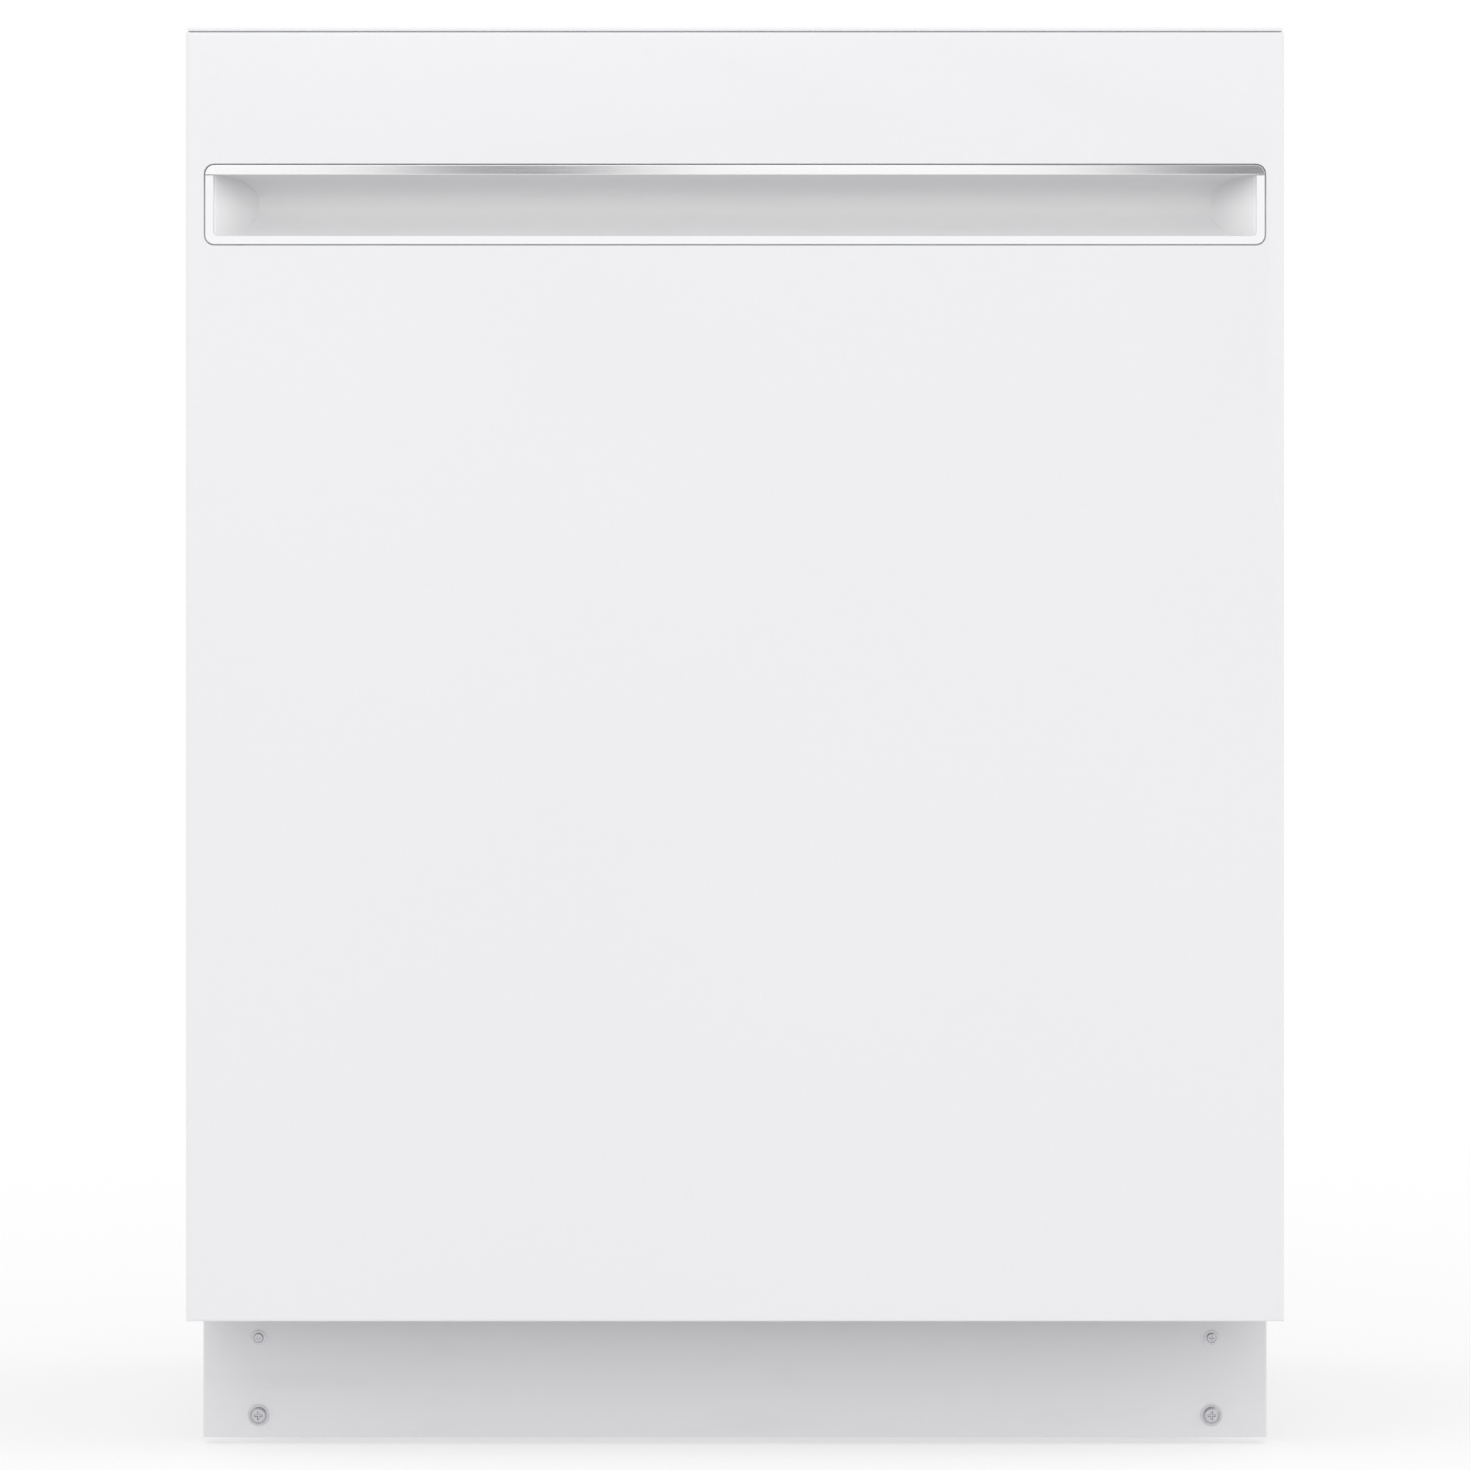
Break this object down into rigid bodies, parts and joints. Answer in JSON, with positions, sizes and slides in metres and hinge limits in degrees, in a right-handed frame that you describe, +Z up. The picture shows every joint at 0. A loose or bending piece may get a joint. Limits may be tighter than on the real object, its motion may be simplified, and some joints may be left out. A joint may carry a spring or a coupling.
{
  "type": "built-in dishwasher",
  "caption": "White front-opening built-in dishwasher with a recessed pocket handle, hidden top controls, drop-down door, pull-out racks, spray arms and a recessed kick plate.",
  "frame": {"origin": "on the floor, under the middle of the machine's box", "axes": "+X to the right seen from the front, -Y out of the door, +Z up"},
  "size_m": [0.603, 0.61, 0.786],
  "materials": {
    "white_paint": "smooth white enamel, satin gloss",
    "kick_paint": "light grey-white satin paint",
    "white_plastic": "white, satin",
    "polished_trim": "polished bright strip",
    "stainless": "brushed stainless steel",
    "zinc_steel": "zinc plated steel",
    "spring_steel": "oiled spring wire",
    "grey_plastic": "moulded polypropylene",
    "dark_plastic": "black moulded plastic",
    "rack_vinyl": "vinyl coated wire",
    "seal_rubber": "matt black",
    "sound_felt": "needled felt",
    "bitumen": "bitumen mat",
    "circuit_green": "solder-masked board",
    "smoked_lens": "smoked, glossy"
  },
  "bodies": {
    "cabinet": {"tub": "stainless", "base_frame": "zinc_steel", "toe_kick": "kick_paint", "kick_screw_upper_left": "zinc_steel", "kick_screw_upper_right": "zinc_steel", "kick_screw_lower_left": "zinc_steel", "kick_screw_lower_right": "zinc_steel", "sump": "grey_plastic", "wash_pump": "dark_plastic", "drain_pump": "dark_plastic", "inlet_valve": "white_plastic", "junction_box": "zinc_steel", "coarse_filter": "stainless", "heater_element": "stainless", "supply_tube": "grey_plastic", "rack_rollers_left": "grey_plastic", "rack_rollers_right": "grey_plastic", "insulation_blanket": "sound_felt", "door_gasket": "seal_rubber", "door_strike": "zinc_steel", "mounting_bracket_left": "zinc_steel", "mounting_bracket_right": "zinc_steel", "door_spring_left": "spring_steel", "door_spring_right": "spring_steel"},
    "door": {"door_outer_panel": "white_paint", "handle_pocket": "white_plastic", "handle_trim": "white_plastic", "handle_lip": "polished_trim", "door_inner_liner": "stainless", "door_latch": "dark_plastic", "door_bottom_seal": "seal_rubber", "door_sound_pad": "bitumen", "control_fascia": "white_plastic", "status_lens": "smoked_lens", "control_board": "circuit_green", "dispenser_housing": "grey_plastic", "hinge_arm_left": "zinc_steel", "hinge_arm_right": "zinc_steel"},
    "button_power": {"button_power": "white_plastic"},
    "button_cycle": {"button_cycle": "white_plastic"},
    "button_wash_options": {"button_wash_options": "white_plastic"},
    "button_dry_options": {"button_dry_options": "white_plastic"},
    "button_start": {"button_start": "white_plastic"},
    "dispenser_lid": {"dispenser_lid": "grey_plastic"},
    "rinse_aid_cap": {"rinse_aid_cap": "grey_plastic"},
    "upper_rack_assembly": {"upper_rack": "rack_vinyl"},
    "middle_spray_arm": {"middle_spray_arm": "grey_plastic"},
    "lower_rack_assembly": {"lower_rack": "rack_vinyl"},
    "silverware_basket": {"silverware_basket": "grey_plastic"},
    "lower_spray_arm": {"lower_spray_arm": "grey_plastic"},
    "upper_spray_arm": {"upper_spray_arm": "grey_plastic"},
    "float_cap": {"float_cap": "grey_plastic"},
    "fine_filter": {"fine_filter": "grey_plastic"},
    "spring_link_left": {"spring_link_left": "spring_steel"},
    "spring_link_right": {"spring_link_right": "spring_steel"},
    "leg_front_left": {"leg_front_left": "zinc_steel"},
    "leg_front_right": {"leg_front_right": "zinc_steel"},
    "leg_rear_left": {"leg_rear_left": "zinc_steel"},
    "leg_rear_right": {"leg_rear_right": "zinc_steel"},
    "pump_impeller": {"pump_impeller": "grey_plastic"}
  },
  "joints": [
    {"name": "door_hinge", "type": "hinge", "parent": "cabinet", "child": "door", "pos_m": [0, -0.262, 0.1], "axis": [1, 0, 0], "range_deg": [0, 90], "stiffness_Nm_per_rad": 21, "deforming": ["door_spring_left", "door_spring_right"]},
    {"name": "upper_rack_slide", "type": "slide", "parent": "cabinet", "child": "upper_rack_assembly", "axis": [0, -1, 0], "range_m": [0, 0.385]},
    {"name": "lower_rack_slide", "type": "slide", "parent": "cabinet", "child": "lower_rack_assembly", "axis": [0, -1, 0], "range_m": [0, 0.189]},
    {"name": "spring_link_left_slide", "type": "slide", "parent": "cabinet", "child": "spring_link_left", "axis": [0, -1, 0], "range_m": [0, 0.071]},
    {"name": "spring_link_right_slide", "type": "slide", "parent": "cabinet", "child": "spring_link_right", "axis": [0, -1, 0], "range_m": [0, 0.071]},
    {"name": "middle_spray_arm_spin", "type": "hinge", "parent": "upper_rack_assembly", "child": "middle_spray_arm", "pos_m": [0, 0.02, 0.4135], "axis": [0, 0, 1], "continuous": true},
    {"name": "lower_spray_arm_spin", "type": "hinge", "parent": "cabinet", "child": "lower_spray_arm", "pos_m": [0, 0.02, 0.156], "axis": [0, 0, 1], "continuous": true},
    {"name": "upper_spray_arm_spin", "type": "hinge", "parent": "cabinet", "child": "upper_spray_arm", "pos_m": [0, 0.02, 0.719], "axis": [0, 0, 1], "continuous": true},
    {"name": "silverware_basket_lift", "type": "slide", "parent": "lower_rack_assembly", "child": "silverware_basket", "axis": [0, 0, 1], "range_m": [0, 0.05]},
    {"name": "float_lift", "type": "slide", "parent": "cabinet", "child": "float_cap", "axis": [0, 0, 1], "range_m": [0, 0.012]},
    {"name": "fine_filter_turn", "type": "hinge", "parent": "cabinet", "child": "fine_filter", "pos_m": [0.058, 0, 0.134], "axis": [0, 0, 1], "range_deg": [0, 90]},
    {"name": "impeller_spin", "type": "hinge", "parent": "cabinet", "child": "pump_impeller", "pos_m": [0.1255, 0.02, 0.082], "axis": [1, 0, 0], "continuous": true},
    {"name": "dispenser_lid_slide", "type": "slide", "parent": "door", "child": "dispenser_lid", "axis": [0, 0, 1], "range_m": [0, 0.06]},
    {"name": "rinse_aid_cap_turn", "type": "hinge", "parent": "door", "child": "rinse_aid_cap", "pos_m": [0.125, -0.2525, 0.454], "axis": [0, 1, 0], "range_deg": [0, 90]},
    {"name": "button_power_press", "type": "slide", "parent": "door", "child": "button_power", "axis": [0, 0, -1], "range_m": [0, 0.001], "stiffness_N_per_m": 800},
    {"name": "button_cycle_press", "type": "slide", "parent": "door", "child": "button_cycle", "axis": [0, 0, -1], "range_m": [0, 0.001], "stiffness_N_per_m": 800},
    {"name": "button_wash_options_press", "type": "slide", "parent": "door", "child": "button_wash_options", "axis": [0, 0, -1], "range_m": [0, 0.001], "stiffness_N_per_m": 800},
    {"name": "button_dry_options_press", "type": "slide", "parent": "door", "child": "button_dry_options", "axis": [0, 0, -1], "range_m": [0, 0.001], "stiffness_N_per_m": 800},
    {"name": "button_start_press", "type": "slide", "parent": "door", "child": "button_start", "axis": [0, 0, -1], "range_m": [0, 0.001], "stiffness_N_per_m": 800},
    {"name": "leg_front_left_screw", "type": "slide", "parent": "cabinet", "child": "leg_front_left", "axis": [0, 0, -1], "range_m": [0, 0.03]},
    {"name": "leg_front_right_screw", "type": "slide", "parent": "cabinet", "child": "leg_front_right", "axis": [0, 0, -1], "range_m": [0, 0.03]},
    {"name": "leg_rear_left_screw", "type": "slide", "parent": "cabinet", "child": "leg_rear_left", "axis": [0, 0, -1], "range_m": [0, 0.03]},
    {"name": "leg_rear_right_screw", "type": "slide", "parent": "cabinet", "child": "leg_rear_right", "axis": [0, 0, -1], "range_m": [0, 0.03]}
  ],
  "couplings": [
    {"joint": "upper_rack_slide", "follows": "door_hinge", "m_per_rad": 0.245},
    {"joint": "lower_rack_slide", "follows": "door_hinge", "m_per_rad": 0.12},
    {"joint": "spring_link_left_slide", "follows": "door_hinge", "m_per_rad": 0.045},
    {"joint": "spring_link_right_slide", "follows": "door_hinge", "m_per_rad": 0.045}
  ]
}
